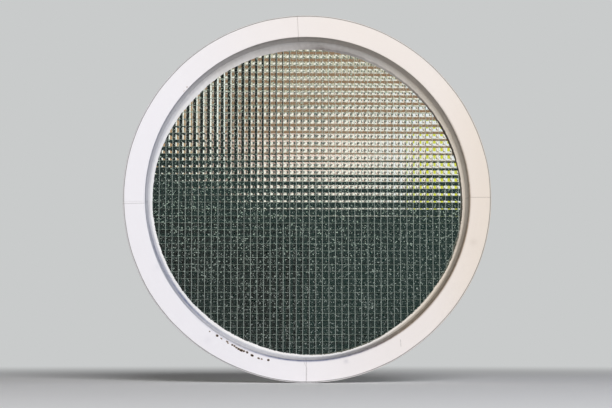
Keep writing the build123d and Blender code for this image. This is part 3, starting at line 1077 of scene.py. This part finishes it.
def far_finish():
    """Bright card of pale and dark bars, brown bands and a few coloured patches."""
    finish, tree, place = new_finish("Bright patched card")
    where = add_node(tree, "SeparateXYZ", {0: place}).outputs

    def patch(below, colour, middle, half, soft):
        """Lay a soft-edged rectangle over the picture so far."""
        shares = []
        for axis, centre, reach in zip("XZ", middle, half):
            offset = add_node(tree, "Math", (where[axis], centre), operation="SUBTRACT")
            away = add_node(tree, "Math", (offset,), operation="ABSOLUTE")
            shares.append(add_node(tree, "MapRange", {
                "Value": away, "From Min": reach + soft, "From Max": reach - soft,
            }))
        covered = add_node(tree, "Math", shares, operation="MULTIPLY")
        return paint_over(tree, below, (colour, covered))

    bars = []
    for axis, shift, scale in (("X", 3.1, 9.0), ("Z", 7.4, 7.0)):
        along = add_node(tree, "Math", (where[axis], shift), operation="ADD")
        wave = add_node(tree, "TexNoise", {"W": along, "Scale": scale, "Detail": 1.0}, noise_dimensions="1D")
        bars.append(add_node(tree, "MapRange", {"Value": wave, "From Min": 0.47, "From Max": 0.53}))
    high = side_share(tree, place, UP, 0.30, 0.38, high=0.74)
    upright = add_node(tree, "Math", (bars[0], high), operation="MULTIPLY")
    crossed = add_node(tree, "Math", bars, operation="MULTIPLY")
    dark = add_node(tree, "Math", (upright, crossed), operation="MAXIMUM")
    glints = add_node(tree, "TexNoise", {"Vector": place, "Scale": 9.0, "Detail": 1.0})
    lit = add_node(tree, "MapRange", {"Value": glints, "From Min": 0.57, "From Max": 0.62})
    picture = paint_over(tree, "#F4E4D0", ("#D6CCB2", high))
    picture = patch(picture, *PINK_PATCH)
    picture = paint_over(tree, picture, ("#3E4A44", dark), ("#FFF7EE", lit))
    for laid in FAR_PATCHES:
        picture = patch(picture, *laid)
    return show(finish, add_node(tree, "Emission", {"Color": picture, "Strength": 1.04}))


def floor_finish():
    """Pale floor that fades into the background with distance from the window."""
    finish, tree, place = new_finish("Pale studio floor")
    away = add_node(tree, "VectorMath", {0: place}, operation="LENGTH").outputs["Value"]
    far = add_node(tree, "MapRange", {
        "Value": away, "From Min": 0.7, "From Max": 2.6,
    }, interpolation_type=SOFT)
    near = add_node(tree, "BsdfDiffuse", {"Color": "#F6F6F5"})
    glow = add_node(tree, "Emission", {"Color": BACKGROUND, "Strength": 1.0})
    mixed = add_node(tree, "MixShader", {"Fac": far, 1: near, 2: glow})
    clear = add_node(tree, "BsdfTransparent")
    below = add_node(tree, "NewGeometry").outputs["Backfacing"]
    return show(finish, add_node(tree, "MixShader", {"Fac": below, 1: mixed, 2: clear}))


def floor_disc(radius, drop):
    """A wide floor, a little below the lowest point of the window."""
    shell = bmesh.new()
    bmesh.ops.create_circle(shell, cap_ends=True, segments=96, radius=radius)
    for vertex in shell.verts:
        vertex.co.z = solid_low.z - drop
    mesh = bpy.data.meshes.new("floor")
    shell.to_mesh(mesh)
    shell.free()
    floor = new_object("floor", mesh)
    mesh.materials.append(floor_finish())
    floor.visible_transmission = floor.visible_glossy = False


def soft_world():
    """Even light from all round, with the plain background shown to camera, gloss and glass."""
    world = bpy.data.worlds.new("studio")
    bpy.context.scene.world = world
    world.use_nodes = True
    tree = world.node_tree
    tree.nodes.clear()
    path = add_node(tree, "LightPath").outputs
    seen = add_node(tree, "Math", (path["Is Camera Ray"], path["Is Glossy Ray"]), operation="MAXIMUM")
    seen = add_node(tree, "Math", (seen, path["Is Transmission Ray"]), operation="MAXIMUM")
    light = add_node(tree, "Background", {"Color": "#F6F5F4", "Strength": 0.12})
    plain = add_node(tree, "Background", {"Color": BACKGROUND, "Strength": 1.0})
    mixed = add_node(tree, "MixShader", {"Fac": seen, 1: light, 2: plain})
    add_node(tree, "OutputWorld", {"Surface": mixed})


def softbox(name, place, size, watts, colour):
    """A square area lamp that looks at the middle of the window."""
    lamp = bpy.data.lights.new(name, "AREA")
    lamp.shape = "SQUARE"
    lamp.size = size
    lamp.energy = watts
    lamp.color = linear_colour(colour)[:3]
    holder = new_object(name, lamp)
    holder.location = place
    holder.rotation_euler = (-Vector(place)).to_track_quat("-Z", "Y").to_euler()
    holder.visible_glossy = holder.visible_transmission = False


floor_disc(14.0, 0.0002)
soft_world()
near_outline = [(-NEAR_REACH, NEAR_Y, NEAR_LOW), (NEAR_REACH, NEAR_Y, NEAR_LOW)]
near_outline += [(x, NEAR_Y, z) for x, z in NEAR_EDGE]
card("near_card", near_outline, near_finish())
card("far_card", rectangle(FAR_Y, -2.8, 2.8, -1.5, 2.2), far_finish())
yellow = even_finish("Yellow card", "#E6E23A", 0.95)
card("yellow_card", rectangle(YELLOW_Y, 0.29, 0.35, 0.08, 0.165), yellow)
# The flag keeps the glass free of white reflections
flag = even_finish("Dark flag", "#16211F", 1.0)
card("flag", rectangle(FLAG_Y, -9, 9, -7, 7), flag, "glossy")
softbox("key", (1.0, -6.0, 2.4), 3.0, 372.0, "#FAFBFF")
softbox("left", (-2.4, -1.3, 0.2), 1.4, 3.5, "#FFD8AC")
softbox("right", (2.4, -1.2, 0.3), 1.4, 7.0, "#ACC6FF")


# Camera

PHOTO_WIDTH = 612
MM_PER_PIXEL = 1.626
LENS, SENSOR = 100.0, 36.0
VIEW_AZIMUTH, VIEW_ELEVATION = -2.0, -5.0
AIM_X, AIM_Z = -2.8, -10.7


def photo_camera():
    """The camera at the photograph's viewing angle, a little below the window's middle."""
    lens = bpy.data.cameras.new("camera")
    lens.lens, lens.sensor_width = LENS, SENSOR
    eye = new_object("camera", lens)
    distance = MM_PER_PIXEL * PHOTO_WIDTH * LENS / SENSOR * MM
    turn, rise = radians(VIEW_AZIMUTH), radians(VIEW_ELEVATION)
    back = Vector((sin(turn) * cos(rise), -cos(turn) * cos(rise), sin(rise)))
    eye.location = Vector((0, FACE_Y * MM, 0)) + back * distance
    aim = Vector((AIM_X, FACE_Y, AIM_Z)) * MM
    eye.rotation_euler = (aim - eye.location).to_track_quat("-Z", "Y").to_euler()
    bpy.context.scene.camera = eye


photo_camera()
bpy.context.scene.view_settings.view_transform = "Standard"
